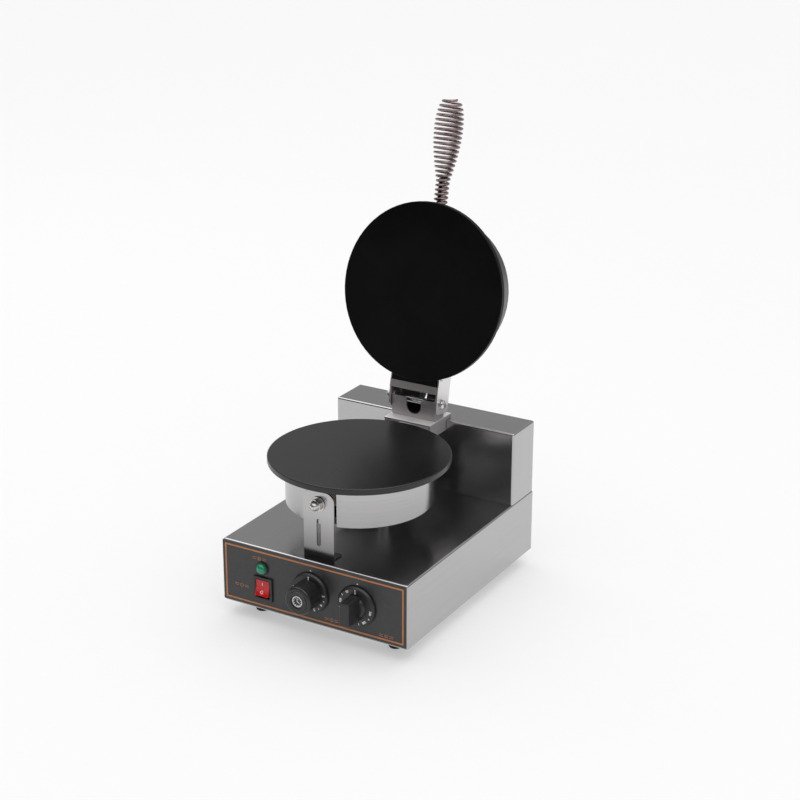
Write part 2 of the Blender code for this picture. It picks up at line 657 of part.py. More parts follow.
def lid_bracket(axis, face, back, lug_top):
    """The channel that joins the upper plate to the hinge pin: two arms, a web and a slotted top."""
    web_low = back - 0.0002
    web_front, web_back = -0.0210, -0.0120
    outer = ARM_INNER + ARM_THICK
    bracket = block("lid_bracket", (-outer, web_front, web_low), (outer, web_back, web_low + ARM_THICK),
                    "brushed_steel", axis)
    arm_top = 0.0180
    arm_back = 0.0120
    for side in (-1, 1):
        arm = [(-0.0420, back + GAP), (-0.0420, arm_top), (arm_back - 0.006, arm_top),
               *arc((arm_back - 0.006, arm_top - 0.006), 0.006, 90, 0, 4),
               *arc((arm_back - 0.006, -0.0045), 0.006, 0, -90, 4),
               (web_front, web_low), (web_front, back + GAP)]
        matrix = Matrix.Translation((side * (ARM_INNER + ARM_THICK / 2), 0, 0)) @ FACING_SIDE
        join(bracket, outline_mesh("arm", arm[::-1], ARM_THICK, matrix))
    # The top plate stops short of the arms' edges, so that no two faces lie in one plane.
    top_front, top_back, top_high = -0.0345, arm_back - 0.0065, arm_top - 0.0003
    join(bracket, box_mesh("top", (-ARM_INNER - 0.0011, top_front, top_high - ARM_THICK),
                           (ARM_INNER + 0.0011, top_back, top_high)))
    slot_half, slot_back = 0.0044, 0.0012
    cut(bracket, box_mesh("wire_slot", (-slot_half, top_front - 0.002, arm_top - 0.005),
                          (slot_half, slot_back, arm_top + 0.002)))
    cut(bracket, rod_mesh("pin_hole", PIN_RADIUS + 0.0001, (-0.05, 0, 0), (0.05, 0, 0)))
    y = (LUG_BACK - 0.0420) / 2
    z = (back + lug_top) / 2 + 0.001
    for side, name in ((-1, "lid_bracket_screw_left"), (1, "lid_bracket_screw_right")):
        screw(name, (side * (outer + GAP), y, z), (side, 0, 0), axis, shank=(0.0016, 0.009))
        for node in (bracket, bpy.data.objects["upper_plate"]):
            hole = rod_mesh("hole", 0.0019, (side * 0.022, y, z), (side * 0.040, y, z), sides=12)
            cut(node, hole)


def handle(axis, centre, handle_z):
    """A wound wire grip on a stud: narrow at the cover, widest near its end."""
    wall_y = centre - COVER_RADIUS
    rod("handle_stud", 0.0050, (0, wall_y + 0.009, handle_z), (0, wall_y - 0.046, handle_z), "bright_steel",
        axis, bevel=0.0006, sides=24)
    for name, near, far in (("handle_nut_inside", wall_y + 0.0020, wall_y + 0.0070),
                            ("handle_nut_outside", wall_y - 0.0004, wall_y - 0.0054)):
        nut = rod(name, 0.0098, (0, near, handle_z), (0, far, handle_z), "bright_steel", axis, sides=6)
        cut(nut, rod_mesh("hole", 0.0053, (0, near + 0.01, handle_z), (0, far - 0.01, handle_z), sides=24))

    wire = 0.0015
    length = 0.130
    turns = 24
    start_y = wall_y - 0.0072
    points_per_turn = 8
    route = []
    for i in range(turns * points_per_turn + 1):
        t = i / (turns * points_per_turn)
        radius = grip_radius(t)
        angle = 2 * math.pi * turns * t
        route.append((radius * math.cos(angle), start_y - length * t, handle_z + radius * math.sin(angle)))
    tube("handle_coil", route, wire, "bright_steel", axis)


def grip_radius(t):
    """Mean radius of the wound grip from the cover (0) to its tip (1)."""
    narrow, widest, tip = 0.0070, 0.0158, 0.0066
    swell_start, swell_end = 0.28, 0.74
    if t < swell_start:
        return narrow
    if t < swell_end:
        share = (t - swell_start) / (swell_end - swell_start)
        return narrow + (widest - narrow) * math.sin(share * math.pi / 2)
    share = (t - swell_end) / (1 - swell_end)
    return tip + (widest - tip) * math.sqrt(max(0.0, 1 - share ** 2.2))


def conduits():
    """Armoured conduit from the base up to the lower plate, and the stub that leaves the rear box."""
    y = PLATE_CENTRE_Y + CONDUIT_BACK
    rod("lower_conduit", 0.0060, (0, y, CASE_TOP - 0.008), (0, y, RING_BOTTOM + 0.010), "galvanised",
        sides=20)
    rod("rear_conduit", 0.0036, (0, WIRE_Y, BOX_TOP - 0.030), (0, WIRE_Y, BOX_TOP + 0.0115), "galvanised",
        sides=16)


def knob(name, at, grip):
    """A control knob on its own axis: a round skirt with a grip standing on it."""
    x, z = at
    axis = bpy.data.objects.new(name + "_axis", None)
    machine.objects.link(axis)
    axis.location = (x, FRONT, z)
    skirt_back, skirt_front = 0.0026, 0.0062
    profile = [(0, KNOB_DEPTH - 0.012), (0.0120, KNOB_DEPTH - 0.012), (0.0130, skirt_front),
               (SKIRT_RADIUS - 0.0030, skirt_front - 0.0006), (SKIRT_RADIUS, skirt_back + 0.001),
               (SKIRT_RADIUS, skirt_back), (0, skirt_back)]
    node = turned(name, profile, "black_plastic", (0, 0, 0), axis, steps=36, rotation=(math.pi / 2, 0, 0))
    join(node, grip())
    bore = SHAFT_RADIUS + GAP
    cut(node, rod_mesh("bore", bore, (0, 0, 0), (0, -0.0120, 0), 20))
    return axis


def timer_grip():
    """A round grip, slightly tapered."""
    root, tip = 0.0170, 0.0162
    return rod_mesh("timer_grip", root, (0, -0.0050, 0), (0, -KNOB_DEPTH, 0), 40, tip)


def thermostat_grip():
    """A straight bar grip, upright at the lowest setting."""
    half_width, half_height = 0.0068, 0.0145
    return box_mesh("thermostat_grip", (-half_width, -KNOB_DEPTH, -half_height),
                    (half_width, -0.0050, half_height))


def timer_and_thermostat():
    """The two controls behind the panel with their shafts and knobs."""
    inner = FRONT + SHEET + GAP
    x, z = TIMER_AT
    block("timer_body", (x - 0.022, inner, z - 0.020), (x + 0.022, inner + 0.034, z + 0.020), "galvanised",
          bevel=0.001)
    x, z = THERMOSTAT_AT
    block("thermostat_body", (x - 0.020, inner, z - 0.017), (x + 0.020, inner + 0.026, z + 0.017), "ceramic",
          bevel=0.001)
    controls = (("timer", TIMER_AT, timer_grip), ("thermostat", THERMOSTAT_AT, thermostat_grip))
    for control, at, grip in controls:
        axis = knob(control + "_knob", at, grip)
        rod(control + "_shaft", SHAFT_RADIUS, (0, SHEET, 0), (0, -0.0115, 0), "bright_steel", axis, sides=24)
    dish_radius, dish_depth = 0.0095, 0.0012
    cut(bpy.data.objects["timer_knob"],
        rod_mesh("dish", dish_radius, (0, -KNOB_DEPTH - 0.001, 0), (0, -KNOB_DEPTH + dish_depth, 0), 40))


def lamp():
    """The green pilot lamp: a domed lens in a threaded black body."""
    x, z = LAMP_AT
    flange_back = PANEL_THICK + 2 * GAP
    flange_front = flange_back + 0.0010
    rim_front = flange_front + 0.0010
    lens_back = flange_front + GAP
    lens_radius, dome_height = 0.0064, 0.0045
    quarter = [math.radians(degrees) for degrees in range(0, 91, 18)]
    lens = [(lens_radius * math.sin(a), rim_front + dome_height * math.cos(a)) for a in quarter]
    lens += [(lens_radius, lens_back), (0, lens_back)]
    turned("lamp_lens", lens, "green_lens", (x, FRONT, z), steps=20, rotation=(math.pi / 2, 0, 0))
    rim_inner, rim_outer, barrel, tail = 0.0068, 0.0080, 0.0052, -0.020
    body = [(0, flange_front), (rim_inner, flange_front), (rim_inner, rim_front), (rim_outer, rim_front),
            (rim_outer, flange_back), (barrel, flange_back), (barrel, tail), (0, tail)]
    turned("lamp_body", body, "black_plastic", (x, FRONT, z), steps=20, rotation=(math.pi / 2, 0, 0))


def power_switch():
    """A rocker switch: black frame and housing, with a red rocker that tilts in it."""
    x, z = SWITCH_AT
    face = FRONT - PANEL_THICK - 2 * GAP
    half_w, half_h = 0.0125, 0.0145
    housing = block("switch_housing", (x - half_w, face - 0.0022, z - half_h), (x + half_w, face, z + half_h),
                    "black_plastic")
    join(housing, box_mesh("housing", (x - 0.0110, face - 0.001, z - 0.0130),
                           (x + 0.0110, FRONT + 0.017, z + 0.0130)))
    open_w, open_h = 0.0092, 0.0112
    cut(housing, box_mesh("well", (x - open_w, face - 0.01, z - open_h),
                          (x + open_w, FRONT + 0.010, z + open_h)))

    axis = bpy.data.objects.new("rocker_axis", None)
    machine.objects.link(axis)
    axis.location = (x, FRONT + ROCKER_DEPTH, z)
    axis.rotation_euler = (-ROCKER_TILT, 0, 0)
    reach = ROCKER_DEPTH + PANEL_THICK + 0.0026
    half = 0.0094
    outline = [(-reach - 0.0020, -half), (-reach, 0), (-reach - 0.0020, half), (-0.0020, half),
               (0.0030, 0.003), (0.0030, -0.003), (-0.0020, -half)]
    rocker = sheet_part("switch_rocker", outline, 0.0176, (0, 0, 0), FACING_SIDE, "red_plastic", axis)
    round_edges(rocker, 0.0004)


def electrics():
    """Terminal block, the thermostat's copper capillary and the cable inlet in the rear wall."""
    floor = CASE_BOTTOM + 2 * GAP + SHEET
    block("terminal_block", (0.030, FRONT + 0.220, floor), (0.090, FRONT + 0.242, floor + 0.018), "ceramic",
          bevel=0.001)
    back = FRONT + CASE_DEPTH
    bore, collar, flange = 0.0045, 0.0078, 0.0115
    profile = [(bore, 0.014), (0.0075, 0.014), (0.0090, 0.010), (flange, 0.010), (flange, GAP), (collar, GAP),
               (collar, -0.012), (bore, -0.012), (bore, 0.014)]
    turned("cable_inlet", profile, "black_plastic", (0.070, back, INLET_Z), steps=20,
           rotation=(-math.pi / 2, 0, 0))
    x, z = THERMOSTAT_AT
    start = (x - 0.010, FRONT + SHEET + 3 * GAP + 0.0275, z)
    knee = (0.030, PLATE_CENTRE_Y - 0.010, CASE_TOP - 0.012)
    tube("thermostat_capillary", conduit_points(start, knee, (0, 0, 0.004)), 0.0009, "copper")


base_casing()
base_covers()
rear_box()
control_panel()
feet()
lower_plate_group()
ring_supports()
hinge_base()
hinge_pin()
lid()
conduits()
timer_and_thermostat()
lamp()
power_switch()
electrics()
bpy.context.view_layer.update()
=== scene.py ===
"""The looks of an electric waffle cone maker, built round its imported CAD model.

Metres, +Z up, +X to the right of someone facing the controls. The machine stands on the floor
with its lid open.
"""
import json
import math

import bmesh
import bpy
from mathutils import Matrix, Vector


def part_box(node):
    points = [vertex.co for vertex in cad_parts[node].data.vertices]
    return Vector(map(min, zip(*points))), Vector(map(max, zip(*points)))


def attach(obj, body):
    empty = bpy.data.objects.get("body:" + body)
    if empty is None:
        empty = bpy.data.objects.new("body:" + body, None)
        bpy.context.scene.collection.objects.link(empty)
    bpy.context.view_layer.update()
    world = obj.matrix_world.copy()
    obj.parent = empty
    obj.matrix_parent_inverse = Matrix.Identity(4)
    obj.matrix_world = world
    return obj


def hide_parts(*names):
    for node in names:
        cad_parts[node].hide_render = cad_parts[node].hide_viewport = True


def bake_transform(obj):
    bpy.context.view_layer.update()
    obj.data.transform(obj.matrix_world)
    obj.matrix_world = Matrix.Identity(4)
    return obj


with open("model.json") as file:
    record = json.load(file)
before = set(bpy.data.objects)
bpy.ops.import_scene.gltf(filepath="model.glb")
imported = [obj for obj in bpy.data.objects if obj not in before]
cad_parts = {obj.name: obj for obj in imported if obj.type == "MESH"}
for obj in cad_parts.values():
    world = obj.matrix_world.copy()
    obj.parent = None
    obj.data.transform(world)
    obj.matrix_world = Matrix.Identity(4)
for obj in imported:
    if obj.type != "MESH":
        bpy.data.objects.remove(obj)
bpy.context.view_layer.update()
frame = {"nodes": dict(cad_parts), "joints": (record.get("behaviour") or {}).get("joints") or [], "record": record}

scene = bpy.context.scene
nodes = frame["nodes"]
joints = {joint["name"]: joint for joint in frame["joints"]}
SLOT_OF = {row["node"]: row["material_slot"] for row in frame["record"]["subparts"]}

# The lid's own frame: its origin on the hinge axis, and its axes those of the closed lid.
HINGE = Vector(joints["lid_hinge"]["pos_m"])
OPEN_ANGLE = math.radians(joints["lid_hinge"]["range_deg"][1])
LID = Matrix.Translation(HINGE) @ Matrix.Rotation(-OPEN_ANGLE, 4, "X")
# Turns a shape drawn in XY and standing along +Z so that it stands out of the front panel.
FACING_FRONT = Matrix.Rotation(math.radians(90), 4, "X")

panel_low, panel_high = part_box("control_panel")
case_low, case_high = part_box("base_casing")
ring_low, ring_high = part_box("lower_ring")

# The thickness of printed ink, and the step between the rings of a conduit's skin.
PRINT = 0.00012
HOSE_STEP = 0.0003


# ---------------------------------------------------------------- camera, floor and light

def camera():
    """A long lens, looking down at the machine from its front right."""
    azimuth, elevation, roll = math.radians(30.40), math.radians(20.96), math.radians(0.10)
    data = bpy.data.cameras.new("camera")
    data.lens = 83.39
    data.sensor_width = 36
    data.clip_end = 100
    made = bpy.data.objects.new("camera", data)
    scene.collection.objects.link(made)
    turn = (Matrix.Rotation(azimuth, 4, "Z") @ Matrix.Rotation(math.radians(90) - elevation, 4, "X")
            @ Matrix.Rotation(roll, 4, "Z"))
    made.matrix_world = Matrix.Translation((1.0219, -1.6957, 0.9975)) @ turn
    scene.camera = made


def soft_light(name, at, size, power, aim=(0, 0, 0.2)):
    """A square soft box that looks at one point."""
    data = bpy.data.lights.new(name, "AREA")
    data.size = size
    data.energy = power
    lamp = bpy.data.objects.new(name, data)
    scene.collection.objects.link(lamp)
    lamp.location = at
    lamp.rotation_euler = (Vector(aim) - Vector(at)).to_track_quat("-Z", "Y").to_euler()


def studio():
    """A pale floor, a bright ceiling, grey walls, and a dark wall at the front left."""
    work = bmesh.new()
    bmesh.ops.create_grid(work, x_segments=8, y_segments=8, size=15)
    mesh = bpy.data.meshes.new("floor")
    work.to_mesh(mesh)
    work.free()
    floor = bpy.data.objects.new("floor", mesh)
    scene.collection.objects.link(floor)
    finish = Finish("floor_paper", (0.52, 0.52, 0.52), 0.85, Emission_Strength=0.385)
    finish.set("Emission Color", (1.0, 1.0, 1.0, 1.0))
    finish.roughen(finish.noise((60, 60, 60)), 0.80, 0.90)
    mesh.materials.append(finish.material)

    world = bpy.data.worlds.new("studio")
    scene.world = world
    world.use_nodes = True
    tree = world.node_tree
    background = tree.nodes["Background"]
    direction = tree.nodes.new("ShaderNodeTexCoord").outputs["Generated"]
    split = tree.nodes.new("ShaderNodeSeparateXYZ")
    tree.links.new(direction, split.inputs[0])

    def ranged(source, low, high, to_low, to_high):
        step = tree.nodes.new("ShaderNodeMapRange")
        step.interpolation_type = "SMOOTHSTEP"
        for socket, value in zip(step.inputs[1:5], (low, high, to_low, to_high)):
            socket.default_value = value
        tree.links.new(source, step.inputs[0])
        return step.outputs[0]

    def combined(operation, first, second):
        step = tree.nodes.new("ShaderNodeMath")
        step.operation = operation
        for socket, value in zip(step.inputs, (first, second)):
            if isinstance(value, float):
                socket.default_value = value
            else:
                tree.links.new(value, socket)
        return step.outputs[0]

    towards = tree.nodes.new("ShaderNodeVectorMath")
    towards.operation = "DOT_PRODUCT"
    towards.inputs[1].default_value = (-0.50, -0.86, 0.05)
    tree.links.new(direction, towards.inputs[0])
    dark_wall = ranged(towards.outputs["Value"], 0.20, 0.80, 1.0, 0.02)
    walls = combined("MULTIPLY", dark_wall, 0.38)
    ceiling = ranged(split.outputs["Z"], 0.50, 0.92, 0.0, 1.55)
    tree.links.new(combined("ADD", walls, ceiling), background.inputs["Strength"])
    background.inputs["Color"].default_value = (1.0, 1.0, 1.0, 1.0)
    soft_light("key", (1.4, -1.2, 2.2), 1.4, 4)
    soft_light("fill", (-1.6, 0.6, 1.9), 1.2, 3)
    scene.view_settings.view_transform = "Standard"


# ---------------------------------------------------------------- finishes

class Finish:
    """One Principled material, detailed with procedural texture in the piece's own coordinates."""

    def __init__(self, name, colour, roughness, metallic=0.0, **sockets):
        self.material = bpy.data.materials.new(name)
        self.material.use_nodes = True
        self.tree = self.material.node_tree
        self.shader = self.tree.nodes["Principled BSDF"]
        self.set("Base Color", (*colour, 1.0))
        self.set("Roughness", roughness)
        self.set("Metallic", metallic)
        for socket, value in sockets.items():
            self.set(socket.replace("_", " "), value)
        self.place = self.tree.nodes.new("ShaderNodeTexCoord").outputs["Object"]
        self.normal = None

    def set(self, socket, value):
        self.shader.inputs[socket].default_value = value

    def link(self, source, target):
        self.tree.links.new(source, target)

    def noise(self, scale, detail=3.0, roughness=0.55, distortion=0.0):
        """Noise stretched by a scale for each axis, about 0 to 1."""
        stretch = self.tree.nodes.new("ShaderNodeVectorMath")
        stretch.operation = "MULTIPLY"
        stretch.inputs[1].default_value = scale
        self.link(self.place, stretch.inputs[0])
        texture = self.tree.nodes.new("ShaderNodeTexNoise")
        texture.inputs["Scale"].default_value = 1.0
        texture.inputs["Detail"].default_value = detail
        texture.inputs["Roughness"].default_value = roughness
        texture.inputs["Distortion"].default_value = distortion
        self.link(stretch.outputs[0], texture.inputs["Vector"])
        return texture.outputs["Fac"]

    def cells(self, scale):
        """A random shade for each cell of a mosaic."""
        texture = self.tree.nodes.new("ShaderNodeTexVoronoi")
        texture.inputs["Scale"].default_value = scale
        self.link(self.place, texture.inputs["Vector"])
        return texture.outputs["Color"]

    def ranged(self, source, low, high, from_low=0.3, from_high=0.7):
        """A value spread from one range over another, and held at its ends."""
        step = self.tree.nodes.new("ShaderNodeMapRange")
        for socket, value in zip(step.inputs[1:5], (from_low, from_high, low, high)):
            socket.default_value = value
        self.link(source, step.inputs[0])
        return step.outputs[0]

    def facing(self, axis):
        """1 on faces that look along an axis of the piece, either way, and 0 elsewhere."""
        split = self.tree.nodes.new("ShaderNodeSeparateXYZ")
        self.link(self.tree.nodes["Texture Coordinate"].outputs["Normal"], split.inputs[0])
        size = self.tree.nodes.new("ShaderNodeMath")
        size.operation = "ABSOLUTE"
        self.link(split.outputs[axis], size.inputs[0])
        return self.ranged(size.outputs[0], 0, 1, 0.6, 0.8)

    def by_side(self, across, other):
        """One value on faces that look along X, and another elsewhere."""
        return self.mixed(self.facing("X"), other, across)

    def height(self, low, high):
        """0 at one height in the piece's own coordinates, and 1 at another."""
        split = self.tree.nodes.new("ShaderNodeSeparateXYZ")
        self.link(self.place, split.inputs[0])
        return self.ranged(split.outputs["Z"], 0, 1, low, high)

    def darkened(self, factor, colour):
        """Blends the base colour towards another where the factor is low."""
        step = self.tree.nodes.new("ShaderNodeMix")
        step.data_type = "RGBA"
        step.inputs[6].default_value = (*colour, 1.0)
        source = self.shader.inputs["Base Color"].links[0].from_socket
        self.link(factor, step.inputs[0])
        self.link(source, step.inputs[7])
        self.link(step.outputs[2], self.shader.inputs["Base Color"])
        return self

    def mixed(self, factor, first, second):
        """A value between two, by a factor from 0 to 1."""
        step = self.tree.nodes.new("ShaderNodeMix")
        for socket, value in zip((step.inputs[0], step.inputs[2], step.inputs[3]), (factor, first, second)):
            self.link(value, socket)
        return step.outputs[0]

    def tint(self, factor, first, second):
        """Colour that varies between two shades."""
        step = self.tree.nodes.new("ShaderNodeMix")
        step.data_type = "RGBA"
        step.inputs[6].default_value = (*first, 1.0)
        step.inputs[7].default_value = (*second, 1.0)
        self.link(factor, step.inputs[0])
        self.link(step.outputs[2], self.shader.inputs["Base Color"])
        return self

    def roughen(self, factor, low, high):
        """Roughness that varies between two values."""
        self.link(self.ranged(factor, low, high), self.shader.inputs["Roughness"])
        return self

    def bump(self, height, depth, strength=1.0):
        """Relief of this depth in metres, on top of any that is there already."""
        step = self.tree.nodes.new("ShaderNodeBump")
        step.inputs["Strength"].default_value = strength
        step.inputs["Distance"].default_value = depth
        self.link(height, step.inputs["Height"])
        if self.normal:
            self.link(self.normal, step.inputs["Normal"])
        self.normal = step.outputs["Normal"]
        self.link(self.normal, self.shader.inputs["Normal"])
        return self


def brushed(name, along, side_along=None, colour=(0.47, 0.46, 0.465), roughness=(0.17, 0.24),
            stain_and_painted_shade=None, painted_side_shade=None):
    """Brushed stainless sheet: fine lines along one axis, broad streaks, and faint handling marks.

    The painted shade, (low, high, colour), gives the sheet this darker colour at one height, and its own at the
    other.
    The painted side shade, (axis, colour), keeps the sheet's own colour only on faces that look along the axis,
    and paints the other faces in the other colour, so that light and shade are painted by side.
    """
    finish = Finish(name, colour, 0.3, 1.0)

    def grain(axis, fine, length):
        return finish.noise([length if letter == axis else fine for letter in "XYZ"], 4.0, 0.65)

    lines, streaks = grain(along, 2600, 22), grain(along, 420, 6)
    if side_along:
        lines = finish.by_side(grain(side_along, 2600, 22), lines)
        streaks = finish.by_side(grain(side_along, 420, 6), streaks)
    marks = finish.noise((9, 9, 9), 4.0, 0.6, 0.4)
    finish.tint(finish.ranged(streaks, 0, 1), [c * 0.97 for c in colour], [c * 1.03 for c in colour])
    finish.roughen(finish.mixed(finish.ranged(marks, 0.0, 0.4), lines, marks), *roughness)
    finish.bump(lines, 0.000006)
    # Painted shade: the sheet is painted darker towards the lower height.
    if stain_and_painted_shade:
        finish.darkened(finish.height(*stain_and_painted_shade[:2]), stain_and_painted_shade[2])
    # Painted light and shade: faces along the axis keep the sheet's colour, and the other faces are painted
    # darker.
    if painted_side_shade:
        finish.darkened(finish.facing(painted_side_shade[0]), painted_side_shade[1])
    return finish.material


def turned_steel(name, colour=(0.50, 0.49, 0.495)):
    """Stainless band brushed round its circumference, with painted shade that darkens it towards its bottom edge.
    """
    finish = Finish(name, colour, 0.3, 1.0)
    lines = finish.noise((12, 12, 2600), 4.0, 0.65)
    streaks = finish.noise((4, 4, 420), 3.0)
    finish.tint(finish.ranged(streaks, 0, 1), [c * 0.96 for c in colour], [c * 1.04 for c in colour])
    finish.roughen(lines, 0.20, 0.28)
    finish.bump(lines, 0.000006)
    # Painted shade: darker towards the band's bottom edge.
    finish.darkened(finish.height(ring_low.z - 0.030, ring_high.z), [c * 0.62 for c in colour])
    return finish.material


def bright_steel(name, colour=(0.72, 0.71, 0.70), roughness=(0.10, 0.24), stain_and_painted_shade=(0.50, 0.44, 0.40)):
    """Plated steel, with faint stains and fine scratches."""
    finish = Finish(name, colour, 0.15, 1.0)
    finish.tint(finish.ranged(finish.noise((90, 90, 90), 5.0, 0.6, 0.5), 0, 1, 0.45, 0.75), colour, stain_and_painted_shade)
    finish.roughen(finish.noise((700, 700, 700), 3.0), *roughness)
    finish.bump(finish.noise((1500, 1500, 400), 3.0), 0.00001)
    return finish.material


def plate_coating(name, shade, roughness, gloss):
    """Black non-stick coating on cast plate: fine orange peel and a slightly worn sheen."""
    finish = Finish(name, (shade, shade, shade), 0.3, Specular_IOR_Level=gloss)
    wear = finish.noise((14, 14, 14), 5.0, 0.6, 0.3)
    finish.tint(finish.ranged(wear, 0, 1, 0.35, 0.75), [shade * 0.8] * 3, [shade * 1.3] * 3)
    finish.roughen(wear, *roughness)
    finish.bump(finish.noise((1700, 1700, 1700), 3.0), 0.00003)
    finish.bump(finish.noise((260, 260, 260), 2.0), 0.00004, 0.5)
    return finish.material


def moulded(name, colour, roughness, grain=0.00002, **sockets):
    """Moulded plastic or rubber with a fine grain and slight colour variation."""
    finish = Finish(name, colour, sum(roughness) / 2, **sockets)
    shade = finish.noise((120, 120, 120), 4.0)
    finish.tint(finish.ranged(shade, 0, 1), [c * 0.85 for c in colour], [c * 1.2 for c in colour])
    finish.roughen(shade, *roughness)
    finish.bump(finish.noise((2200, 2200, 2200), 2.0), grain)
    return finish.material


def galvanised():
    """Zinc-coated sheet with its spangle."""
    finish = Finish("galvanised", (0.52, 0.53, 0.54), 0.4, 1.0)
    spangle = finish.cells(130)
    finish.tint(spangle, (0.44, 0.45, 0.46), (0.60, 0.61, 0.62))
    finish.roughen(spangle, 0.32, 0.50)
    finish.bump(finish.noise((900, 900, 900), 3.0), 0.00001)
    return finish.material


def mineral_wool():
    """Yellowish fibre mat."""
    finish = Finish("mineral_wool", (0.62, 0.56, 0.38), 0.95)
    fibre = finish.noise((500, 900, 300), 6.0, 0.7, 2.0)
    finish.tint(finish.ranged(fibre, 0, 1), (0.50, 0.44, 0.28), (0.74, 0.69, 0.52))
    finish.roughen(fibre, 0.85, 1.0).bump(fibre, 0.0008)
    return finish.material


def all_finishes():
    """Every finish by its name. The record's material slots are among the names."""
    # Painted shade: the brackets are painted darker down towards their feet on the casing.
    bracket_foot_painted_shade = (case_high.z - 0.004, 0.150, (0.15, 0.145, 0.15))
    return {
        "brushed_steel": brushed("brushed_steel", "X"),
        "casing_steel": brushed("casing_steel", "Y", "Y"),
        "box_steel": brushed("box_steel", "X", "Z"),
        "bracket_steel": brushed("bracket_steel", "Z", "Z", stain_and_painted_shade=bracket_foot_painted_shade),
        "ring_steel": turned_steel("ring_steel"),
        "cover_steel": brushed("cover_steel", "X", None, (0.185, 0.18, 0.185), (0.30, 0.40)),
        # Painted light and shade: the shelf's top faces are painted light and its other faces darker, and the
        # arms' side faces are painted light and their other faces darker.
        "shelf_steel": brushed("shelf_steel", "X", "Z", (0.92, 0.90, 0.90), (0.58, 0.68),
                               painted_side_shade=("Z", (0.46, 0.44, 0.445))),
        "arm_steel": brushed("arm_steel", "X", "Z", (0.78, 0.76, 0.765), (0.34, 0.44),
                             painted_side_shade=("X", (0.36, 0.335, 0.335))),
        "hinge_steel": brushed("hinge_steel", "X", "Z", (0.42, 0.395, 0.40), (0.40, 0.52)),
        "black_sleeve": moulded("black_sleeve", (0.020, 0.018, 0.018), (0.55, 0.75), 0.00004),
        "nut_steel": bright_steel("nut_steel", (0.66, 0.65, 0.65), (0.26, 0.38)),
        "plate_coating": plate_coating("plate_coating", 0.006, (0.26, 0.34), 0.55),
        "lid_coating": plate_coating("lid_coating", 0.0025, (0.30, 0.40), 0.12),
        "panel_black": moulded("panel_black", (0.032, 0.032, 0.035), (0.30, 0.40)),
        "bright_steel": bright_steel("bright_steel"),
        "handle_steel": bright_steel("handle_steel", (0.36, 0.29, 0.29), (0.07, 0.14), (0.12, 0.07, 0.08)),
        "rubber": moulded("rubber", (0.014, 0.014, 0.014), (0.65, 0.85), 0.00004),
        "black_plastic": moulded("black_plastic", (0.017, 0.017, 0.019), (0.30, 0.42)),
        "red_plastic": moulded("red_plastic", (0.56, 0.005, 0.008), (0.20, 0.28), 0.000005, Coat_Weight=0.1),
        "green_lens": moulded("green_lens", (0.008, 0.25, 0.13), (0.10, 0.18), 0.000005, Coat_Weight=0.3),
        "mineral_wool": mineral_wool(),
        "galvanised": galvanised(),
        "ceramic": moulded("ceramic", (0.80, 0.78, 0.72), (0.40, 0.55)),
        "copper": bright_steel("copper", (0.78, 0.40, 0.25), (0.22, 0.38), (0.45, 0.20, 0.12)),
        "white_print": moulded("white_print", (0.82, 0.82, 0.80), (0.45, 0.60), 0.000005),
        "orange_print": moulded("orange_print", (0.50, 0.19, 0.055), (0.40, 0.55), 0.000005),
    }


FINISH_OF = {
    "base_casing": "casing_steel", "rear_box": "box_steel", "rear_panel": "box_steel",
    "front_bracket": "bracket_steel", "rear_bracket": "bracket_steel", "lower_ring": "ring_steel",
    "upper_cover": "cover_steel", "hinge_shelf": "shelf_steel", "hinge_base_bracket": "hinge_steel",
    "lid_bracket": "arm_steel", "front_bracket_cap_nut": "nut_steel", "rear_bracket_cap_nut": "nut_steel",
    "front_bracket_washer": "nut_steel", "rear_bracket_washer": "nut_steel",
    "handle_stud": "handle_steel", "upper_plate": "lid_coating",
}
SOFT_EDGE = 0.0003
BEVEL_OF = {
    "lower_plate": 0.0004, "upper_plate": 0.0006, "switch_rocker": 0.0006, "control_panel": 0.0002,
    "switch_housing": 0.0006,
}


# ---------------------------------------------------------------- mesh tools

def smoothing_group():
    """Shades a mesh smooth, with its edges over 50 degrees kept sharp."""
    group = bpy.data.node_groups.new("smooth_by_angle", "GeometryNodeTree")
    group.interface.new_socket("Geometry", in_out="INPUT", socket_type="NodeSocketGeometry")
    group.interface.new_socket("Geometry", in_out="OUTPUT", socket_type="NodeSocketGeometry")
    make = group.nodes.new
    entry, leave = make("NodeGroupInput"), make("NodeGroupOutput")
    plain = make("GeometryNodeRemoveAttribute")
    plain.inputs["Name"].default_value = "custom_normal"
    faces, edges = make("GeometryNodeSetShadeSmooth"), make("GeometryNodeSetShadeSmooth")
    edges.domain = "EDGE"
    edges.inputs["Shade Smooth"].default_value = False
    angle, sharp = make("GeometryNodeInputMeshEdgeAngle"), make("FunctionNodeCompare")
    sharp.inputs[1].default_value = math.radians(50)
    chain = (entry, plain, faces, edges, leave)
    for source, target in zip(chain, chain[1:]):
        group.links.new(source.outputs[0], target.inputs[0])
    group.links.new(angle.outputs[0], sharp.inputs[0])
    group.links.new(sharp.outputs[0], edges.inputs["Selection"])
    return group


def smoothed(piece, bevel=0.0, weld=False, segments=2):
    """Softens a piece's edges and shades it smooth, with its flat faces left flat."""
    if weld:
        step = piece.modifiers.new("weld", "WELD")
        step.merge_threshold = 0.00001
        step = piece.modifiers.new("flat_faces", "DECIMATE")
        step.decimate_type = "DISSOLVE"
        step.angle_limit = math.radians(0.4)
    if bevel:
        step = piece.modifiers.new("edges", "BEVEL")
        step.width = bevel
        step.segments = segments
        step.limit_method = "ANGLE"
        step.angle_limit = math.radians(35)
    step = piece.modifiers.new("smooth", "NODES")
    step.node_group = SMOOTHING
    step = piece.modifiers.new("normals", "WEIGHTED_NORMAL")
    step.keep_sharp = True
    return piece


